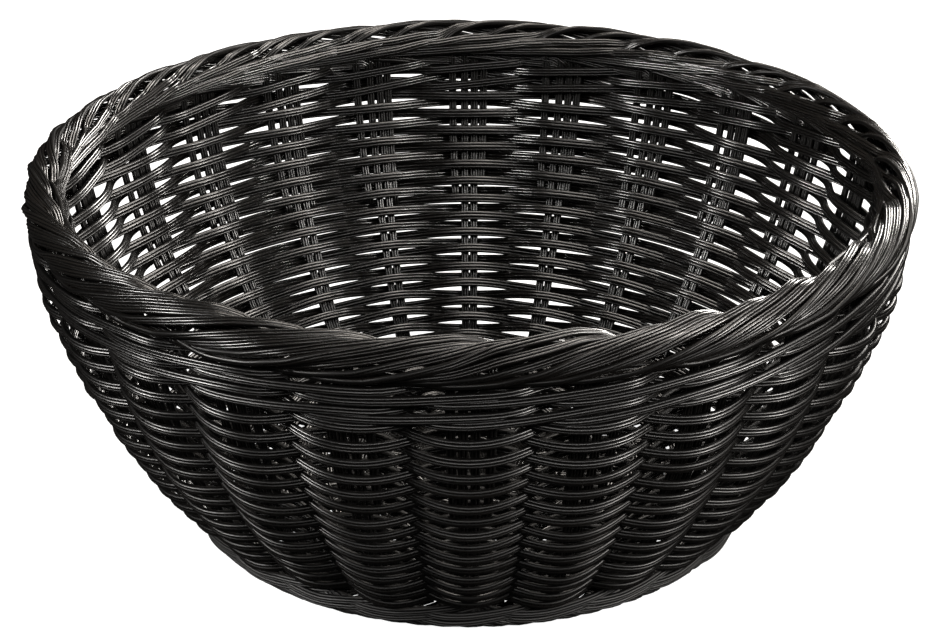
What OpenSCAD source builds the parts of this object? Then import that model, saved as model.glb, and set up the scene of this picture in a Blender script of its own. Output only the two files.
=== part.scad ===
// Round woven bowl basket, millimetres. Origin: centre of the foot on the surface it stands on.
// +Z is up the bowl's axis. Twelve cane pairs cross under the floor, run out as 24 arms and rise as
// the stakes of the wall. Rows of cane weave in front of one stake and behind the next, and under the
// rim six more, the wale, weave in front of two stakes and behind the third.

/* [Bowl] */
// Outer diameter of the rim
rim_d = 250; // [240:1:258]
// Height of the rim's top above the surface it stands on
bowl_h = 106; // [102:1:112]
// Height of the rolled rim
rim_h = 12; // [11:0.5:13]
// Outer diameter of the ring that it stands on
foot_d = 164; // [160:1:166]

/* [Cane] */
// Width of one flattened cane
cane_w = 2.4; // [2.2:0.1:2.4]
// Thickness of one cane
cane_t = 1.6; // [1.4:0.1:1.7]

/* [Weave] */
// How far a row stands out over a stake, as a share of the stakes' spacing
bulge_share = 0.145; // [0.14:0.005:0.155]
// Share of the wall's height that the inserted canes reach down from the rim
insert_reach = 0.46; // [0.3:0.01:0.6]

/* [Hidden] */
// Stakes and rows are fixed in number, because each has a name of its own.
pairs = 12;
arms = 2 * pairs;
arm_step = 360 / arms;
wall_rows = 29;
wale_rows = 6;
clear = 0.05;

// Wall's middle surface, from the rim down: it leans in more and more towards the floor.
wall_r = rim_d / 2 - 6;
wall_z = bowl_h - rim_h;
floor_z = 8.5;
lean_rim = 3;
lean_foot = 40;
lean_power = 0.7;
wall_steps = 32;
leans = [for (i = [0:wall_steps - 1])
    lean_rim + (lean_foot - lean_rim) * pow((i + 0.5) / wall_steps, lean_power)];
drops = [for (a = leans) cos(a)];
insets = [for (a = leans) sin(a)];
function total(v) = v * [for (x = v) 1];
function running(v) = [for (i = 0, s = 0; i <= len(v); s = s + (i < len(v) ? v[i] : 0), i = i + 1) s];
step_len = (wall_z - floor_z) / total(drops);
wall_len = step_len * wall_steps;
r_table = [for (i = [0:wall_steps]) [i / wall_steps, wall_r - running(insets)[i] * step_len]];
z_table = [for (i = [0:wall_steps]) [i / wall_steps, wall_z - running(drops)[i] * step_len]];
function r_at(t) = lookup(t, r_table);
function z_at(t) = lookup(t, z_table);

// Rows: even spacing along the wall, first the wale and then the plain weave.
first_wale = 1.4;
wale_gap = 1.8;
first_row = 12.6;
last_row = wall_len - 4;
row_gap = (last_row - first_row) / (wall_rows - 1);
row_fill = 0.86;
function wale_t(n) = (first_wale + n * wale_gap) / wall_len;
function row_t(n) = (first_row + n * row_gap) / wall_len;
function rise(t, gap) = (z_at(t) - z_at(min(1, t + gap / wall_len))) * row_fill;
row_points = 5;
// Makes the wale stand as far out at its two outer stakes as it does between them
wale_flat = 0.6;
rise_points = 9;
// Just under the rim the rows stand out less.
rim_tuck = 15;
rim_tuck_share = 0.04;

// Floor: one layer of pairs lies across the other, and rings of weave lie over and under them.
pair_gap = 5;
cross_half = 17;
low_z = 6.4;
high_z = low_z + cane_t + clear;
arm_end = 76;
arm_straight = 4;
// Canes are a touch slimmer up the wall than in the floor.
wall_cane_w = cane_w - 0.1;
floor_ring_in = 23;
floor_ring_gap = 6;
floor_rings = 9;

// Rim and foot
rim_bar_w = 4;
rim_bar_h = 2.7;
rim_tilt = 6;
rim_outer_span = 42;
rim_inner_span = 30;
rim_top_h = 4;
rim_stop = bowl_h - rim_top_h - 0.5;
foot_r = foot_d / 2;
foot_ring_w = 10;
foot_ring_h = 4.6;
black = [0.07, 0.07, 0.075];
grey = [0.12, 0.12, 0.125];

function two(n) = n < 9 ? str("0", n + 1) : str(n + 1);
STAKES = [for (i = [0:pairs - 1]) str("stake_pair_", two(i))];
ROWS = [for (i = [0:wall_rows - 1]) str("weave_row_", two(i))];
WALE = [for (i = [0:wale_rows - 1]) str("wale_row_", two(i))];

// A strip of even width along a list of 2D points, mitred where it bends.
function way(a, b) = (b - a) / norm(b - a);
function left(d) = [-d[1], d[0]];
function edge(p, o) = let (last = len(p) - 1) [for (i = [0:last])
    let (a = way(p[max(0, i - 1)], p[max(1, i)]), b = way(p[min(last - 1, i)], p[min(last, i + 1)]))
    p[i] + o * (left(a) + left(b)) / (1 + a * b)];
function back(v) = [for (i = [len(v) - 1:-1:0]) v[i]];
module strip(p, w) { polygon(concat(edge(p, w / 2), back(edge(p, -w / 2)))); }

// Up the wall in the plane of one stake: x is the distance from the axis and y the height.
function rise_line(t_low, top) = concat(
    [for (i = [0:rise_points]) let (t = t_low * (1 - i / rise_points)) [r_at(t), z_at(t)]],
    [[wall_r, top]]);

module wall_cane(line, side) {
    rotate([90, 0, 0]) translate([0, 0, -side - wall_cane_w / 2])
        linear_extrude(height = wall_cane_w) strip(line, cane_t);
}

// Half of one cane of a stake pair: along the cross, out along the arm, and up the wall.
module half_cane(offset_y, side, arm, z) {
    out = [cos(arm), sin(arm)];
    joint = (arm_end - arm_straight) * out;
    swing = atan2(joint[1] - offset_y, joint[0] - cross_half);
    bend = [cross_half - side * tan(swing / 2), offset_y + side];
    turn = joint + side * (left(out) - tan((swing - arm) / 2) * out);
    translate([0, 0, z]) linear_extrude(height = cane_t)
        strip([[-0.01, offset_y + side], bend, turn, arm_end * out + side * left(out)], cane_w);
    rotate([0, 0, arm])
        wall_cane(concat([[arm_end - 1.5, z + cane_t / 2]], rise_line(0.96, rim_stop)), side);
}

module stake_pair(n) {
    layer = n < pairs / 2 ? 0 : 1;
    slot = n - layer * pairs / 2 - (pairs / 2 - 1) / 2;
    color(black) rotate([0, 0, arm_step / 2 + layer * 90])
        for (side = [-1, 1] * (cane_w + clear) / 2) union() {
            half_cane(slot * pair_gap, side, slot * arm_step, layer == 0 ? low_z : high_z);
            mirror([1, 0, 0])
                half_cane(slot * pair_gap, side, slot * arm_step, layer == 0 ? low_z : high_z);
        }
}

function bulge_at(t) = 2 * PI * r_at(t) / arms
    * (bulge_share - rim_tuck_share * max(0, 1 - t * wall_len / rim_tuck));

// A ring of cane at t down the wall. waves gives how far out it stands at each of its points.
module woven_ring(t, h, waves) {
    turn = 360 / len(waves);
    line = [for (w = waves) r_at(t) + bulge_at(t) * w];
    translate([0, 0, z_at(t) - h / 2]) linear_extrude(height = h) difference() {
        polygon([for (i = [0:len(line) - 1])
            (line[i] + cane_t / 2) * [cos(i * turn), sin(i * turn)]]);
        polygon([for (i = [0:len(line) - 1])
            (line[i] - cane_t / 2) * [cos(i * turn), sin(i * turn)]]);
    }
}

// Plain weave: out over every second stake and in behind the others.
module weave_row(n) {
    side = n % 2 == 0 ? -1 : 1;
    color(n % 2 == 0 ? black : grey) woven_ring(row_t(n), rise(row_t(n), row_gap),
        [for (i = [0:arms * row_points - 1]) side * cos(180 * i / row_points)]);
}

// Wale: out over two stakes and in behind the third, one stake further on in each ring.
module wale_row(n) {
    color(n % 2 == 0 ? grey : black) woven_ring(wale_t(n), rise(wale_t(n), wale_gap),
        [for (i = [0:arms * row_points - 1]) let (c = cos(120 * (i / row_points - n - 0.5)))
            c + wale_flat * (1 - c * c)]);
}

// Extra canes pushed in beside each stake, from the rim down to half the wall's height.
module insert_canes() {
    color(black) for (i = [0:arms - 1], side = [-5, 5])
        rotate([0, 0, i * arm_step])
            wall_cane(rise_line(insert_reach, rim_stop), side);
}

// A short bar along the ring of radius r, climbing from its low end to its high end.
module climbing_bar(r, w, h, z, at, span, tilt) {
    rotate([0, 0, at]) translate([0, 0, z]) rotate([tilt, 0, 0]) rotate([0, 0, -span / 2])
        rotate_extrude(angle = span, $fn = 96) translate([r - w, -h / 2]) square([w, h]);
}

module rim_outer_canes() {
    color(black) for (i = [0:arms - 1])
        climbing_bar(rim_d / 2, rim_bar_w, rim_bar_h, bowl_h - rim_h / 2, i * arm_step,
            rim_outer_span, rim_tilt);
}

module rim_inner_canes() {
    color(grey) for (i = [0:arms - 1])
        climbing_bar(wall_r - cane_t / 2 - 0.4, rim_bar_w, rim_bar_h, bowl_h - rim_h / 2,
            i * arm_step, rim_inner_span, -rim_tilt);
}

module rim_top_cane() {
    color(black) rotate_extrude($fn = 96)
        translate([wall_r - cane_w / 2, bowl_h - rim_top_h]) square([cane_w, rim_top_h]);
}

module floor_rings_at(first, z) {
    for (i = [0:floor_rings - 1]) translate([0, 0, z])
        rotate_extrude($fn = 96) translate([first + i * floor_ring_gap, 0]) square([cane_w, cane_t]);
}

module floor_weave_upper() {
    color(black) floor_rings_at(floor_ring_in, high_z + cane_t + clear);
}

module floor_weave_lower() {
    color(grey) floor_rings_at(floor_ring_in + floor_ring_gap / 2, low_z - cane_t - clear);
}

// Rounds of cane that bind the crossing of the pairs.
module floor_centre_binding() {
    color(black) for (z = [low_z - cane_t - clear, high_z + cane_t + clear]) translate([0, 0, z])
        difference() {
            cylinder(r = cross_half + 2.6, h = cane_t, $fn = 96);
            translate([0, 0, -1]) cylinder(r = cross_half - 2.6, h = cane_t + 2, $fn = 96);
        }
}

// Ring with a flat underside, which the basket stands on.
module foot_ring() {
    color(black) rotate_extrude($fn = 96)
        polygon([[foot_r - foot_ring_w, 1], [foot_r - foot_ring_w + 1, 0], [foot_r - 1, 0],
            [foot_r, 1], [foot_r, foot_ring_h], [foot_r - foot_ring_w, foot_ring_h]]);
}

module foot_canes() {
    color(grey) for (i = [0:arms - 1])
        climbing_bar(foot_r + 2.7, 2.6, 2, 4.6, (i + 0.5) * arm_step, 28, 7);
}

for (n = [0:pairs - 1]) stake_pair(n);
for (n = [0:wale_rows - 1]) wale_row(n);
for (n = [0:wall_rows - 1]) weave_row(n);
insert_canes();
rim_outer_canes();
rim_inner_canes();
rim_top_cane();
floor_weave_upper();
floor_weave_lower();
floor_centre_binding();
foot_ring();
foot_canes();
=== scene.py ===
"""Looks of a round black woven basket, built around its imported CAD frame.

Every cane is a ribbed, flattened strip swept along its own path: stakes that cross the floor and
climb the wall, rows that weave in front of one stake and behind the next, the twisted wale above
them, a rolled rim, and a foot wrapped in cane. Lengths are in metres unless a comment says
millimetres, +Z is up, and angles run anticlockwise from +X.
"""

import math

import bpy
import numpy as np
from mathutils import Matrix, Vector


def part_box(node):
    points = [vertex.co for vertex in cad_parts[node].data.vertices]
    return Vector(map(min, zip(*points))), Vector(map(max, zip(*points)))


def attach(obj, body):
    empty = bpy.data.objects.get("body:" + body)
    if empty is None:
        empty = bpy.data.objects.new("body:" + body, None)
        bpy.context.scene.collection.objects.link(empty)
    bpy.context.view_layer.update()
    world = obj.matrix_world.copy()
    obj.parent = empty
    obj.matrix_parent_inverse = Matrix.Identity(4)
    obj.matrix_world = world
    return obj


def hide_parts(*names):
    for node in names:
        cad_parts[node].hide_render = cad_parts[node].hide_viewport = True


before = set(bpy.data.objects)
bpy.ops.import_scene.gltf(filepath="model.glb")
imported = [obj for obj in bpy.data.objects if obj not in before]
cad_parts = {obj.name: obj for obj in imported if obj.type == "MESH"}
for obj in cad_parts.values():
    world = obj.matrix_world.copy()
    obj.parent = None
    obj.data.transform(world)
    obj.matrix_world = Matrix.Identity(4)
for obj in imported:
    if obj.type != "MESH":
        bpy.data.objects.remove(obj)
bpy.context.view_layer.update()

MM = 0.001
TURN = 2 * math.pi
ARMS = 24
PITCH = TURN / ARMS
rng = np.random.default_rng(24)

# Sizes that come from the frame
ROW_NODES = sorted(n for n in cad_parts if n.startswith("weave_row_"))
WALE_NODES = sorted(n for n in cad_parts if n.startswith("wale_row_"))
STAKE_NODES = sorted(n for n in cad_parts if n.startswith("stake_pair_"))
RIM_NODES = ["rim_outer_canes", "rim_inner_canes", "rim_top_cane"]
rim_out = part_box("rim_outer_canes")[1].x
rim_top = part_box("rim_top_cane")[1].z
foot_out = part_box("foot_ring")[1].x
binding_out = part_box("floor_centre_binding")[1].x
floor_in = (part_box("floor_weave_upper")[0].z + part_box("floor_weave_lower")[1].z) / 2

# The wall's middle surface leans in more and more towards the floor, as the frame's does. Leans are
# in degrees.
WALL_R = rim_out - 6 * MM
WALL_TOP = rim_top - 12 * MM
WALL_FOOT_Z = 8.5 * MM
LEAN_RIM = 3
LEAN_FOOT = 40
LEAN_POWER = 0.7


def wall_profile(steps=320):
    """Distance down the wall, radius, height and lean at each step from the rim to the floor."""
    share = (np.arange(steps) + 0.5) / steps
    lean = np.radians(LEAN_RIM + (LEAN_FOOT - LEAN_RIM) * share**LEAN_POWER)
    step = (WALL_TOP - WALL_FOOT_Z) / np.cos(lean).sum()
    down = step * np.arange(steps + 1)
    radius = WALL_R - step * np.concatenate([[0], np.cumsum(np.sin(lean))])
    height = WALL_TOP - step * np.concatenate([[0], np.cumsum(np.cos(lean))])
    lean = np.interp(down, down[:-1] + step / 2, lean)
    return down, radius, height, lean


DOWN, WALL_RS, WALL_ZS, WALL_LEANS = wall_profile()
WALL_LEN = DOWN[-1]


def wall_at(down):
    """Radius, height and lean of the wall's middle surface, straight up above its top."""
    down = np.asarray(down, float)
    above = np.minimum(down, 0)
    radius = np.interp(down, DOWN, WALL_RS)
    height = np.interp(down, DOWN, WALL_ZS) - above
    return radius, height, np.interp(down, DOWN, WALL_LEANS)


# ---------------------------------------------------------------- paths

def polar(angle, radius, height):
    """Points at these angles, radii and heights."""
    angle, radius, height = np.broadcast_arrays(angle, radius, height)
    return np.stack([radius * np.cos(angle), radius * np.sin(angle), height], axis=-1)


def unit(v):
    """These vectors at length 1."""
    return v / np.maximum(np.linalg.norm(v, axis=-1, keepdims=True), 1e-12)


def around_once(sections):
    """Angles of that many sections, evenly spaced around the basket."""
    return np.arange(sections) * 2 * math.pi / sections


def soften(values, count):
    """A weighted running mean over about count samples that keeps both ends where they are."""
    half = count // 2
    if half < 1:
        return values
    head = 2 * values[0] - values[half:0:-1]
    tail = 2 * values[-1] - values[-2:-half - 2:-1]
    padded = np.concatenate([head, values, tail])
    kernel = np.hanning(2 * half + 3)[1:-1]
    kernel = kernel / kernel.sum()
    columns = [np.convolve(padded[:, i], kernel, mode="valid") for i in range(values.shape[1])]
    return np.stack(columns, axis=-1)


def resample(knots, step, round_over):
    """Evenly spaced rows along a list of knots, with corners rounded over that length."""
    knots = np.asarray(knots, float)
    gaps = np.linalg.norm(np.diff(knots[:, :3], axis=0), axis=1)
    at = np.concatenate([[0], np.cumsum(gaps)])
    fine = np.linspace(0, at[-1], max(8, int(at[-1] / (step / 4))))
    dense = np.stack([np.interp(fine, at, column) for column in knots.T], axis=-1)
    dense = soften(dense, int(round_over / (step / 4)))
    keep = np.linspace(0, len(dense) - 1, max(3, int(at[-1] / step) + 1)).round().astype(int)
    return dense[keep]


def wander(at, cycles, size):
    """Smooth unsteadiness around a closed turn: a few waves of random phase."""
    total = np.zeros(len(at))
    for cycle in cycles:
        total += np.sin(cycle * at + rng.uniform(0, TURN)) / len(cycles)
    return size * total


# ---------------------------------------------------------------- canes

# Places across one face of the cane, from its lower edge to its upper edge, and the two grooves
# between its three ribs: where each one lies and how deep it is, as a share of half the thickness
FACE = np.array([-1, -0.93, -0.8, -0.62, -0.46, -0.36, -0.3, -0.24, -0.12,
                 0.06, 0.24, 0.36, 0.42, 0.48, 0.6, 0.78, 0.93, 1])
GROOVES = [(-0.3, 0.46), (0.42, 0.60)]
# How far to each side of a groove the face's shape sinks, and its painted shade reaches
RIB_HALF = 0.36
SHADE_HALF = 0.3


def face_dip(x, reach):
    """How far each groove has taken the face down at x, sharp in the groove and round on the rib."""
    return [depth * np.clip(1 - np.abs(x - place) / reach, 0, 1) ** 2 for place, depth in GROOVES]


def face_depth(x):
    """Height of the face over the cane's middle, as a share of half its thickness."""
    rounded = (1 - np.abs(x) ** 2.6) ** 0.5
    return rounded * (1 - sum(face_dip(x, RIB_HALF)))


def face_groove_shade(x):
    """Painted shade in the grooves and at the edges, which also roughens there: 1 in a groove or at an
    edge, and 0 on a rib.
    """
    mark = np.abs(x) ** 5 + 3 * sum(face_dip(x, SHADE_HALF))
    return np.minimum(mark, 1)


# The back face is the front face turned half a turn, as a drawn strip is.
OUTLINE_X = np.concatenate([FACE, -FACE[1:-1]])
OUTLINE_Y = np.concatenate([face_depth(FACE), -face_depth(FACE[1:-1])])
OUTLINE_GROOVE_SHADE = np.concatenate([face_groove_shade(FACE), face_groove_shade(FACE[1:-1])])
AROUND = len(OUTLINE_X)


class Canes:
    """Canes gathered into one mesh, with the marks that their material reads."""

    def __init__(self):
        self.points = []
        self.faces = []
        self.caps = []
        self.marks = []
        self.count = 0

    def add(self, path, facing, width, thick, closed=False, tilt=0.0, aside=0.0):
        """One cane along path. facing is the way its face looks, tilt turns it about its length in
        radians, and aside shifts it sideways within its own plane."""
        n = len(path)
        if closed:
            tangent = unit(np.roll(path, -1, axis=0) - np.roll(path, 1, axis=0))
        else:
            tangent = unit(np.gradient(path, axis=0))
        across = unit(np.cross(facing, tangent))
        out = np.cross(tangent, across)
        tilt = np.broadcast_to(np.asarray(tilt, float), n)[:, None]
        across, out = (across * np.cos(tilt) + out * np.sin(tilt),
                       out * np.cos(tilt) - across * np.sin(tilt))
        aside = np.broadcast_to(np.asarray(aside, float), n)[:, None]
        path = path + across * aside
        width = np.broadcast_to(np.asarray(width, float), n)[:, None, None]
        thick = np.broadcast_to(np.asarray(thick, float), n)[:, None, None]
        ring = (path[:, None] + across[:, None] * (OUTLINE_X[:, None] * width / 2)
                + out[:, None] * (OUTLINE_Y[:, None] * thick / 2))
        gaps = np.linalg.norm(np.diff(path, axis=0), axis=1)
        along = np.concatenate([[0], np.cumsum(gaps)]) + rng.uniform(0, 3)
        tone = rng.uniform(0, 1)
        mark = np.empty((n, AROUND, 4))
        mark[..., 0] = along[:, None]
        mark[..., 1] = OUTLINE_X * width[:, :, 0] / 2
        mark[..., 2] = OUTLINE_GROOVE_SHADE
        mark[..., 3] = tone
        base = self.count + AROUND * np.arange(n if closed else n - 1)[:, None]
        ahead = base + AROUND
        if closed:
            ahead = np.where(ahead >= self.count + AROUND * n, self.count, ahead)
        i = np.arange(AROUND)[None]
        j = (i + 1) % AROUND
        quads = np.stack([base + i, ahead + i, ahead + j, base + j], axis=-1)
        self.faces.append(quads.reshape(-1, 4))
        if not closed:
            last = self.count + AROUND * (n - 1)
            self.caps.append(list(range(self.count, self.count + AROUND)))
            self.caps.append(list(range(last + AROUND - 1, last - 1, -1)))
        self.points.append(ring.reshape(-1, 3))
        self.marks.append(mark.reshape(-1, 4))
        self.count += n * AROUND

    def piece(self, name, material, nodes):
        """The Blender object of all these canes, riding on the basket's one body."""
        points = np.concatenate(self.points)
        quads = np.concatenate(self.faces)
        marks = np.concatenate(self.marks)
        mesh = bpy.data.meshes.new(name)
        mesh.from_pydata(points.tolist(), [], quads.tolist() + self.caps)
        for index, label in enumerate(["along", "across", "groove", "tone"]):
            layer = mesh.attributes.new(label, "FLOAT", "POINT")
            layer.data.foreach_set("value", marks[:, index].astype(np.float32))
        smooth = np.ones(len(mesh.polygons), bool)
        smooth[len(quads):] = False
        mesh.polygons.foreach_set("use_smooth", smooth)
        mesh.materials.append(material)
        mesh.update()
        made = bpy.data.objects.new(name, mesh)
        bpy.context.scene.collection.objects.link(made)
        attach(made, "root")
        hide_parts(*nodes)
        return made


# ---------------------------------------------------------------- materials

def cane_material(name, dark, light, roughness):
    """Black ribbed plastic cane: drawn lines along it, fine marks across it, and painted shade that
    darkens its grooves and edges.
    """
    material = bpy.data.materials.new(name)
    material.use_nodes = True
    nodes = material.node_tree.nodes
    links = material.node_tree.links
    shader = nodes["Principled BSDF"]

    def read(label):
        """The mark of this name, which Canes puts on its mesh."""
        node = nodes.new("ShaderNodeAttribute")
        node.attribute_name = label
        return node.outputs["Fac"]

    def maths(operation, a, b=0.5, c=0.5):
        """The result of a Math node on numbers or sockets."""
        node = nodes.new("ShaderNodeMath")
        node.operation = operation
        for socket, value in zip(node.inputs, [a, b, c]):
            if isinstance(value, (int, float)):
                socket.default_value = value
            else:
                links.new(value, socket)
        return node.outputs[0]

    def grain(per_metre_along, per_metre_across, detail):
        """Noise stretched along the cane, different on each cane."""
        joined = nodes.new("ShaderNodeCombineXYZ")
        links.new(maths("MULTIPLY", along, per_metre_along), joined.inputs[0])
        links.new(maths("MULTIPLY", across, per_metre_across), joined.inputs[1])
        links.new(maths("MULTIPLY", tone, 91.0), joined.inputs[2])
        noise = nodes.new("ShaderNodeTexNoise")
        noise.inputs["Scale"].default_value = 1.0
        noise.inputs["Detail"].default_value = detail
        noise.inputs["Roughness"].default_value = 0.6
        links.new(joined.outputs[0], noise.inputs["Vector"])
        return noise.outputs["Fac"]

    def mixed(factor, a, b):
        """The colour between a and b, which are colours or sockets."""
        node = nodes.new("ShaderNodeMix")
        node.data_type = "RGBA"
        links.new(factor, node.inputs["Factor"])
        for socket, value in [(node.inputs["A"], a), (node.inputs["B"], b)]:
            if isinstance(value, tuple):
                socket.default_value = (*value, 1)
            else:
                links.new(value, socket)
        return node.outputs["Result"]

    along = read("along")
    across = read("across")
    groove = read("groove")
    tone = read("tone")
    drawn = grain(70, 5200, 3.0)
    marks = grain(1500, 900, 2.0)
    patches = grain(28, 160, 3.0)

    body = mixed(patches, dark, light)
    fibre = mixed(maths("MULTIPLY_ADD", drawn, 1.0, -0.3), body, light)
    pale = mixed(maths("POWER", tone, 3.0), fibre, light)
    # Painted shade: the grooves and the cane's edges are darkened almost to black.
    shaded = mixed(maths("MULTIPLY", groove, 0.9), pale, (0.0005, 0.0005, 0.0005))
    links.new(shaded, shader.inputs["Base Color"])

    rough = maths("MULTIPLY_ADD", drawn, 0.10, roughness - 0.05)
    rough = maths("MULTIPLY_ADD", marks, 0.16, maths("SUBTRACT", rough, 0.08))
    rough = maths("MULTIPLY_ADD", groove, 0.25, rough)
    links.new(rough, shader.inputs["Roughness"])
    # Painted shade as well: less reflection in the grooves and at the edges.
    links.new(maths("MULTIPLY_ADD", groove, -0.66, 0.7), shader.inputs["Specular IOR Level"])
    shader.inputs["IOR"].default_value = 1.5

    height = maths("MULTIPLY_ADD", marks, 0.6, maths("MULTIPLY", drawn, 0.2))
    bump = nodes.new("ShaderNodeBump")
    bump.inputs["Strength"].default_value = 0.35
    bump.inputs["Distance"].default_value = 0.06 * MM
    links.new(height, bump.inputs["Height"])
    links.new(bump.outputs["Normal"], shader.inputs["Normal"])
    return material


# The rim is the shiniest and warmest, and the foot the dullest, with a darker colour that is painted
# shade from the wall over it.
weave_black = cane_material("weave_black", (0.001, 0.001, 0.001), (0.0048, 0.0042, 0.0037), 0.19)
stake_black = cane_material("stake_black", (0.0008, 0.0008, 0.0008), (0.0036, 0.0032, 0.0028), 0.25)
border_black = cane_material("border_black", (0.0013, 0.0013, 0.0012), (0.0065, 0.0056, 0.0048), 0.18)
foot_shaded_black = cane_material("foot_shaded_black", (0.0006, 0.0006, 0.0006), (0.002, 0.0018, 0.0016), 0.50)

# ---------------------------------------------------------------- rows of the wall

ROW_WIDTH = 3.0 * MM
ROW_THICK = 2.0 * MM
# How far a row stands out over a stake, as a share of the stakes' spacing. It is less near the rim.
BULGE_SHARE = 0.145
TUCK_SHARE = 0.04
TUCK_DOWN = 15 * MM
# A row's wave has flatter tops near the rim than lower down.
FLAT_LOW = 0.04
FLAT_MORE = 0.14
FLAT_DOWN = 50 * MM
ROW_SECTIONS = 12 * ARMS


def each_arm(size):
    """A value for every arm, smooth from one arm to the next."""
    values = rng.normal(0, size, ARMS)
    values = np.append(values, values[0])
    return lambda angle: np.interp(angle / PITCH % ARMS, np.arange(ARMS + 1), values)


def weave_row(index, node):
    """A row in front of one stake and behind the next, at its CAD row's height."""
    low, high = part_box(node)
    down = np.interp(-(low.z + high.z) / 2, -WALL_ZS, DOWN)
    angle = around_once(ROW_SECTIONS)
    down = down + wander(angle, [1, 2, 3, 5, 8], 0.45 * MM) + each_arm(0.12 * MM)(angle)
    radius, height, lean = wall_at(down)
    share = BULGE_SHARE - TUCK_SHARE * np.clip(1 - down / TUCK_DOWN, 0, 1)
    side = -1 if index % 2 == 0 else 1
    wave = np.cos(ARMS / 2 * angle)
    flat = FLAT_MORE * np.clip(1 - down / FLAT_DOWN, 0, 1) + FLAT_LOW
    wave = wave * (1 + flat) - flat * wave**3
    bulge = side * wave * share * radius * PITCH * (1 + each_arm(0.05)(angle))
    outward = polar(angle, np.cos(lean), -np.sin(lean))
    path = polar(angle, radius, height) + outward * bulge[:, None]
    tilt = each_arm(0.12)(angle) + wander(angle, [7, 11, 13], 0.10)
    canes = Canes()
    canes.add(path, outward, ROW_WIDTH, ROW_THICK, closed=True, tilt=tilt)
    canes.piece(f"row_{index + 1:02d}", weave_black, [node])


for row_index, row_node in enumerate(ROW_NODES):
    weave_row(row_index, row_node)

# Strands in one wale course, how far each climbs and drops from the course's middle, and where the
# two courses' middles lie below the wall's top
WALE_STRANDS = 3
WALE_CLIMB = 1.45 * MM
WALE_DOWN = [3.4 * MM, 8.8 * MM]
WALE_SHARE = 0.115
WALE_WIDTH = 2.75 * MM


def wale_strand(index, node):
    """A strand outside two stakes and inside the third, which climbs outside and drops inside."""
    angle = around_once(ROW_SECTIONS)
    past = angle / PITCH - index - 0.5
    wave = np.cos(TURN / WALE_STRANDS * past)
    climb = np.sin(TURN / WALE_STRANDS * past)
    down = WALE_DOWN[index // WALE_STRANDS] - WALE_CLIMB * climb
    down = down + wander(angle, [1, 2, 3, 5], 0.3 * MM) + each_arm(0.2 * MM)(angle)
    radius, height, lean = wall_at(down)
    bulge = np.tanh(2.6 * (wave + 0.5)) * WALE_SHARE * radius * PITCH
    outward = polar(angle, np.cos(lean), -np.sin(lean))
    path = polar(angle, radius, height) + outward * bulge[:, None]
    tilt = each_arm(0.10)(angle) + 0.12
    canes = Canes()
    canes.add(path, outward, WALE_WIDTH, ROW_THICK, closed=True, tilt=tilt)
    canes.piece(f"wale_{index + 1:02d}", weave_black, [node])


for wale_index, wale_node in enumerate(WALE_NODES):
    wale_strand(wale_index, wale_node)

# ---------------------------------------------------------------- stakes

STAKE_WIDTH = 2.5 * MM
STAKE_THICK = 1.7 * MM
PAIR_SPACING = 2.45 * MM
WALL_SPACING = 3.05 * MM
# Half the length over which the pairs lie parallel at the floor's middle, and how far apart they lie
CROSS_HALF = 17 * MM
CROSS_GAP = 5 * MM
ARM_END = 74 * MM
FLOOR_Z = floor_in
LAYER_RISE = 0.85 * MM
# Above the wall's top, where the rim hides the stakes' ends
STAKE_TOP = -4 * MM
PAIRS = len(STAKE_NODES)
LAYER_PAIRS = PAIRS // 2


def arm_knots(arm, offset, layer):
    """Knots from the middle of the floor out along one arm and up the wall."""
    rise = LAYER_RISE if layer else -LAYER_RISE
    along = np.array([math.cos(arm), math.sin(arm)])
    knots = [(0, offset, FLOOR_Z + rise), (CROSS_HALF * 0.8, offset, FLOOR_Z + rise)]
    start = np.array([CROSS_HALF, offset])
    for share in (0.25, 1):
        x, y = start + (along * 30 * MM - start) * share
        knots.append((x, y, FLOOR_Z + rise * (1 - share)))
    for radius in (45 * MM, 60 * MM, ARM_END):
        knots.append((*(along * radius), FLOOR_Z))
    for down in np.linspace(WALL_LEN - 4 * MM, STAKE_TOP, 12):
        radius, height, _ = wall_at(down)
        knots.append((*(along * float(radius)), float(height)))
    return knots


def facing_out(path, turn):
    """Up on the floor and outward on the wall, turned smoothly where the cane bends."""
    tangent = unit(np.gradient(path, axis=0))
    sideways = np.stack([-np.sin(turn), np.cos(turn), np.zeros(len(path))], axis=-1)
    return unit(np.cross(sideways, tangent))


def stake_pair(index, node):
    """Two canes side by side from the rim, across the floor and up to the rim again."""
    layer = index // LAYER_PAIRS
    slot = index % LAYER_PAIRS - (LAYER_PAIRS - 1) / 2
    turn = PITCH / 2 + layer * math.pi / 2
    right = arm_knots(slot * PITCH, slot * CROSS_GAP, layer)
    left = [(-x, y, z) for x, y, z in right]
    knots = np.array(left[::-1] + right[1:])
    path = resample(knots, 2.6 * MM, 7 * MM)
    heading = np.arctan2(np.gradient(path[:, 1]), np.gradient(path[:, 0]))
    along_x = np.where(path[:, :1] < 0, -path, path)
    outward_heading = np.arctan2(along_x[:, 1], along_x[:, 0])
    blend = np.clip((np.abs(path[:, 0]) - CROSS_HALF) / (8 * MM), 0, 1)
    heading = heading * (1 - blend) + outward_heading * blend
    facing = facing_out(path, heading)
    spin = np.array([[math.cos(turn), math.sin(turn), 0],
                     [-math.sin(turn), math.cos(turn), 0],
                     [0, 0, 1]])
    spacing = np.interp(path[:, 2], [12 * MM, 40 * MM], [PAIR_SPACING, WALL_SPACING])
    canes = Canes()
    for side in (-1, 1):
        wobble = wander(np.linspace(0, 12, len(path)), [1, 2.3], 0.10 * MM)
        canes.add(path @ spin, facing @ spin, STAKE_WIDTH, STAKE_THICK,
                  aside=side * spacing / 2 + wobble)
    canes.piece(f"stake_{index + 1:02d}", stake_black, [node])


for stake_index, stake_node in enumerate(STAKE_NODES):
    stake_pair(stake_index, stake_node)

# How far down the wall the inserted canes reach, as a share of it, and where they lie beside the arm
INSERT_REACH = 0.47
INSERT_SIDES = [-4.5 * MM, 6.0 * MM]


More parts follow.
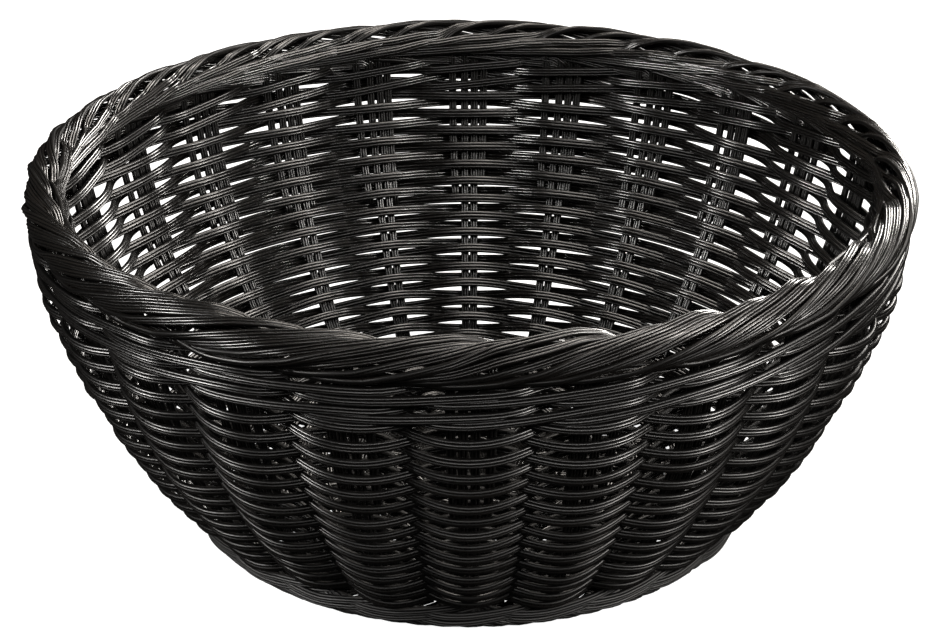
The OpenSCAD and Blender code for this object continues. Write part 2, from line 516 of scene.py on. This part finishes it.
def insert_pair(index):
    """The two canes pushed in beside a stake pair, one on each side of it."""
    arm = index * PITCH
    canes = Canes()
    for side in INSERT_SIDES:
        reach = WALL_LEN * (INSERT_REACH + rng.uniform(-0.03, 0.03))
        down = np.linspace(reach, STAKE_TOP, 24)
        radius, height, lean = wall_at(down)
        beside = (side + rng.normal(0, 0.25 * MM)) * (1 - 0.2 * np.clip(down / reach, 0, 1) ** 2)
        path = polar(arm + beside / radius, radius, height)
        outward = polar(np.full(len(down), arm), np.cos(lean), -np.sin(lean))
        canes.add(path, outward, STAKE_WIDTH, STAKE_THICK, tilt=rng.normal(0, 0.08))
    canes.piece(f"insert_{index + 1:02d}", stake_black, ["insert_canes"])


for arm_index in range(ARMS):
    insert_pair(arm_index)

# ---------------------------------------------------------------- rolled rim

ROLL_R = rim_out - 6.5 * MM
ROLL_Z = rim_top - 6.8 * MM
ROLL_HALF_R = 4.7 * MM
ROLL_HALF_Z = 5.65 * MM
RIM_WIDTH = 2.45 * MM
RIM_THICK = 1.8 * MM
RIM_SPACING = 2.7 * MM
# Degrees past its stake, and how much of the roll's size a cane keeps there: it dips in past the top
RIM_SIZE_AT = [43, 46, 49.5, 53, 57, 70, 82]
RIM_SIZE = [1, 0.97, 0.42, 1.03, 0.98, 0.76, 0.45]
# Degrees past its stake, and how far a cane is turned up there to overlap the next, in radians
SHINGLE_AT = [6, 16, 42, 49, 56]
SHINGLE = [0, 0.26, 0.26, 0.05, 0.16]
# Each stake sends up a pair and then, this much further on, a single cane, which starts further back.
SINGLE_LAG = math.radians(7.7)
SINGLE_BACK = 7
# Degrees past its stake, and degrees around the roll from its outer side over its top
RIM_TURNS = [(13, -72), (19, -50), (24, -22), (29, 6), (34, 34), (39, 60), (43.5, 84), (47, 107),
             (49.5, 133), (52, 156), (57, 171), (66, 186), (76, 204), (82, 226)]
# Millimetres along the rim to each degree, which puts all three of a knot's numbers on one scale
MM_PER_DEGREE = 2.0


def rim_strands(canes, index):
    """A pair or a single cane that leaves its stake under the roll, climbs over it and ends inside."""
    later = index % 2
    start = index // 2 * PITCH + later * SINGLE_LAG
    back = SINGLE_BACK * later
    jitter = rng.normal(0, 0.7)
    knots = [(-back, WALL_R / MM, WALL_TOP / MM - 3),
             (1 - back, WALL_R / MM, WALL_TOP / MM - 0.6),
             (7, WALL_R / MM + 0.8, WALL_TOP / MM - 0.3)]
    for past, turn in RIM_TURNS:
        turn = math.radians(turn + rng.normal(0, 1.6))
        size = np.interp(past, RIM_SIZE_AT, RIM_SIZE) + rng.normal(0, 0.015)
        knots.append((past + jitter,
                      (ROLL_R + size * ROLL_HALF_R * math.cos(turn)) / MM,
                      (ROLL_Z + size * ROLL_HALF_Z * math.sin(turn)) / MM))
    knots = np.array(knots)
    knots[:, 0] *= MM_PER_DEGREE
    course = resample(knots, 1.8, 5.0)
    past = course[:, 0] / MM_PER_DEGREE
    radius = course[:, 1] * MM
    height = course[:, 2] * MM
    angle = start + np.radians(past)
    path = polar(angle, radius, height)
    around = polar(angle, radius - ROLL_R, height - ROLL_Z)
    straight = polar(angle, 1.0, 0.0)
    share = np.clip((past - 3) / 11, 0, 1)[:, None]
    share = share * share * (3 - 2 * share)
    facing = unit(unit(around) * share + straight * (1 - share))
    shingle = np.interp(past, SHINGLE_AT, SHINGLE)
    for side in (0,) if later else (-1, 1):
        own = shingle + rng.normal(0, 0.08)
        drift = wander(np.radians(past * 4), [1, 2], 0.35 * MM)
        spread = side * RIM_SPACING / 2 * (1 + rng.normal(0, 0.06)) + drift
        proud = np.clip((past - 8) / 8, 0, 1) * rng.normal(0, 0.16 * MM)
        canes.add(path + facing * proud[:, None], facing, RIM_WIDTH, RIM_THICK, tilt=own, aside=spread)


def rim_group(index):
    """The pair and the single cane that one stake sends up."""
    canes = Canes()
    rim_strands(canes, 2 * index)
    rim_strands(canes, 2 * index + 1)
    canes.piece(f"rim_{index + 1:02d}", border_black, RIM_NODES)


for arm_index in range(ARMS):
    rim_group(arm_index)

# ---------------------------------------------------------------- foot

BAND_WIDTH = 2.4 * MM
# About one pitch of the foot in millimetres, which puts all three of a knot's numbers on one scale
PITCH_MM = 20
# Pitches past the gap between two stakes, distance out from the foot ring's side, and height, in mm
BAND_COURSE = [(-0.7, -5.0, 8.3), (-0.4, -3.2, 7.6), (-0.1, -1.0, 6.3), (0.2, -0.3, 5.5),
               (0.5, -0.2, 5.6), (0.85, -0.3, 6.5), (1.2, -0.6, 7.6), (1.5, -1.4, 8.6),
               (1.75, -2.9, 9.2), (1.95, -4.6, 9.6)]
# Pitches past the stake, and degrees around the foot from its outer side, down and under it
WRAP_COURSE = [(-0.1, 62), (0.15, 25), (0.4, -12), (0.7, -50), (1.0, -90), (1.3, -130), (1.6, -175),
               (1.8, -215)]
WRAP_R = foot_out - 5.3 * MM
WRAP_Z = 4.1 * MM
WRAP_HALF_R = 4.0 * MM
WRAP_HALF_Z = 3.1 * MM


def foot_band(index):
    """Two canes that dip under the gap between stakes and climb behind the next one."""
    arm = (index + 0.5) * PITCH
    canes = Canes()
    for layer in range(2):
        knots = np.array(BAND_COURSE)
        knots[:, 0] = knots[:, 0] * PITCH_MM + rng.normal(0, 0.3)
        knots[:, 1] += rng.normal(0, 0.12, len(knots)) - 0.7 * layer
        knots[:, 2] += rng.normal(0, 0.15, len(knots)) - 2.0 * layer
        course = resample(knots, 2.0, 7.0)
        angle = arm + course[:, 0] / PITCH_MM * PITCH
        path = polar(angle, foot_out + course[:, 1] * MM, course[:, 2] * MM)
        facing = polar(angle, 1.0, 0.1)
        canes.add(path, facing, BAND_WIDTH, RIM_THICK, tilt=rng.normal(0.1, 0.06))
    canes.piece(f"foot_band_{index + 1:02d}", foot_shaded_black, ["foot_canes"])


def foot_wrap(index):
    """Three canes that run down the outside, under the foot and up its inner side."""
    arm = index * PITCH
    canes = Canes()
    for lane in (-1, 0, 1):
        knots = []
        for past, turn in WRAP_COURSE:
            turn = math.radians(turn)
            knots.append(((past + lane * 0.33) * PITCH_MM,
                          (WRAP_R + WRAP_HALF_R * math.cos(turn)) / MM,
                          (WRAP_Z + WRAP_HALF_Z * math.sin(turn)) / MM))
        course = resample(knots, 1.8, 3.0)
        angle = arm + course[:, 0] / PITCH_MM * PITCH
        path = polar(angle, course[:, 1] * MM, course[:, 2] * MM)
        facing = polar(angle, course[:, 1] * MM - WRAP_R, course[:, 2] * MM - WRAP_Z)
        canes.add(path, facing, BAND_WIDTH, RIM_THICK, tilt=rng.normal(0, 0.05))
    canes.piece(f"foot_wrap_{index + 1:02d}", foot_shaded_black, ["foot_ring"])


for arm_index in range(ARMS):
    foot_band(arm_index)
    foot_wrap(arm_index)

# ---------------------------------------------------------------- floor

FLOOR_FIRST = 23 * MM
FLOOR_GAP = 3 * MM
FLOOR_ROWS = 19
FLOOR_WAVE = 1.9 * MM
FLOOR_SECTIONS = 8 * ARMS
# The last row lies a little higher, where the wall starts.
LAST_ROW_RISE = 0.8 * MM
DOWNWARD = [0.0, 0.0, -1.0]


def floor_row(index):
    """A ring of the floor that passes over one stake pair and under the next."""
    radius = FLOOR_FIRST + index * FLOOR_GAP
    angle = around_once(FLOOR_SECTIONS)
    side = 1 if index % 2 == 0 else -1
    height = FLOOR_Z + side * FLOOR_WAVE * np.cos(ARMS / 2 * angle)
    if index == FLOOR_ROWS - 1:
        height = height + LAST_ROW_RISE
    radius = radius + wander(angle, [1, 2, 5], 0.2 * MM)
    path = polar(angle, radius, height)
    facing = np.tile(DOWNWARD, (len(angle), 1))
    canes = Canes()
    canes.add(path, facing, ROW_WIDTH, ROW_THICK, closed=True, tilt=each_arm(0.06)(angle))
    node = "floor_weave_upper" if index % 2 == 0 else "floor_weave_lower"
    canes.piece(f"floor_row_{index + 1:02d}", weave_black, [node])


for ring_index in range(FLOOR_ROWS):
    floor_row(ring_index)

BINDING_ROUNDS = 4
BINDING_SECTIONS = 120
BINDING_WAVE = 2.5 * MM


def centre_binding():
    """Rounds of cane over one pair of groups and under the other, where the stakes cross."""
    canes = Canes()
    angle = around_once(BINDING_SECTIONS)
    for turn in range(BINDING_ROUNDS):
        radius = binding_out - ROW_WIDTH * (0.5 + 0.5 * turn)
        side = 1 if turn % 2 == 0 else -1
        wave = np.tanh(2.5 * np.cos(2 * (angle - PITCH / 2)))
        path = polar(angle, radius, FLOOR_Z + side * BINDING_WAVE * wave)
        facing = np.tile(DOWNWARD, (len(angle), 1))
        canes.add(path, facing, ROW_WIDTH, ROW_THICK, closed=True)
    canes.piece("centre_binding", weave_black, ["floor_centre_binding"])


centre_binding()

# ---------------------------------------------------------------- stage, light and camera

STAGE_HALF = 4.0


def stage_floor():
    """A plain white floor, which glows so that it stays pale without lighting the basket."""
    half = STAGE_HALF
    mesh = bpy.data.meshes.new("stage_floor")
    mesh.from_pydata([(-half, -half, 0), (half, -half, 0), (half, half, 0), (-half, half, 0)], [],
                     [(0, 1, 2, 3)])
    material = bpy.data.materials.new("stage_white")
    material.use_nodes = True
    shader = material.node_tree.nodes["Principled BSDF"]
    shader.inputs["Base Color"].default_value = (0.2, 0.2, 0.2, 1)
    shader.inputs["Roughness"].default_value = 0.9
    shader.inputs["Specular IOR Level"].default_value = 0.1
    shader.inputs["Emission Color"].default_value = (1, 1, 1, 1)
    shader.inputs["Emission Strength"].default_value = 0.96
    mesh.materials.append(material)
    made = bpy.data.objects.new("stage_floor", mesh)
    bpy.context.scene.collection.objects.link(made)
    made.visible_glossy = False
    made.visible_diffuse = False


def softbox(name, place, aim, width, height, power, colour):
    """A soft rectangular lamp at place, turned towards aim."""
    lamp = bpy.data.lights.new(name, "AREA")
    lamp.shape = "RECTANGLE"
    lamp.size = width
    lamp.size_y = height
    lamp.energy = power
    lamp.color = colour
    made = bpy.data.objects.new(name, lamp)
    bpy.context.scene.collection.objects.link(made)
    point_at(made, place, aim)


def point_at(thing, place, aim):
    """Puts a lamp or the camera at place, looking at aim."""
    thing.location = place
    thing.rotation_euler = (Vector(aim) - Vector(place)).to_track_quat("-Z", "Y").to_euler()


def daylight(strength):
    """Faint white light from all round."""
    world = bpy.data.worlds.new("studio")
    world.use_nodes = True
    backdrop = world.node_tree.nodes["Background"]
    backdrop.inputs["Color"].default_value = (1, 1, 1, 1)
    backdrop.inputs["Strength"].default_value = strength
    bpy.context.scene.world = world


VIEW_ELEVATION = math.radians(25.1)
VIEW_DISTANCE = 0.764
VIEW_LENS = 101.5


def camera():
    """Looks down at the basket from the front."""
    made = bpy.data.objects.new("camera", bpy.data.cameras.new("camera"))
    bpy.context.scene.collection.objects.link(made)
    made.data.lens = VIEW_LENS
    made.data.sensor_width = 36
    made.data.shift_x = 0.0006
    made.data.shift_y = 0.0055
    aim = (0, 0, rim_top / 2)
    place = (0, -VIEW_DISTANCE * math.cos(VIEW_ELEVATION),
             aim[2] + VIEW_DISTANCE * math.sin(VIEW_ELEVATION))
    point_at(made, place, aim)
    bpy.context.scene.camera = made


stage_floor()
daylight(0.012)
softbox("top", (0.1, 0.2, 1.0), (0, 0, 0.05), 0.8, 0.3, 15, (1, 0.93, 0.85))
softbox("back", (0.7, 0.9, 0.6), (0, 0, 0.06), 0.5, 0.25, 27, (1, 0.96, 0.91))
softbox("right", (1.0, 0.1, 0.9), (0, 0, 0.06), 0.4, 0.25, 10, (1, 0.96, 0.91))
softbox("front", (0.2, -1.0, 0.8), (0, 0, 0.05), 2.4, 0.2, 15, (1, 0.97, 0.94))
softbox("front_right", (1.15, -0.6, 0.6), (0, 0, 0.06), 0.4, 0.25, 22, (1, 0.96, 0.91))
softbox("front_left", (-1.2, -0.3, 0.6), (0, 0, 0.07), 0.4, 0.25, 24, (1, 0.97, 0.94))
camera()
bpy.context.scene.view_settings.view_transform = "Standard"
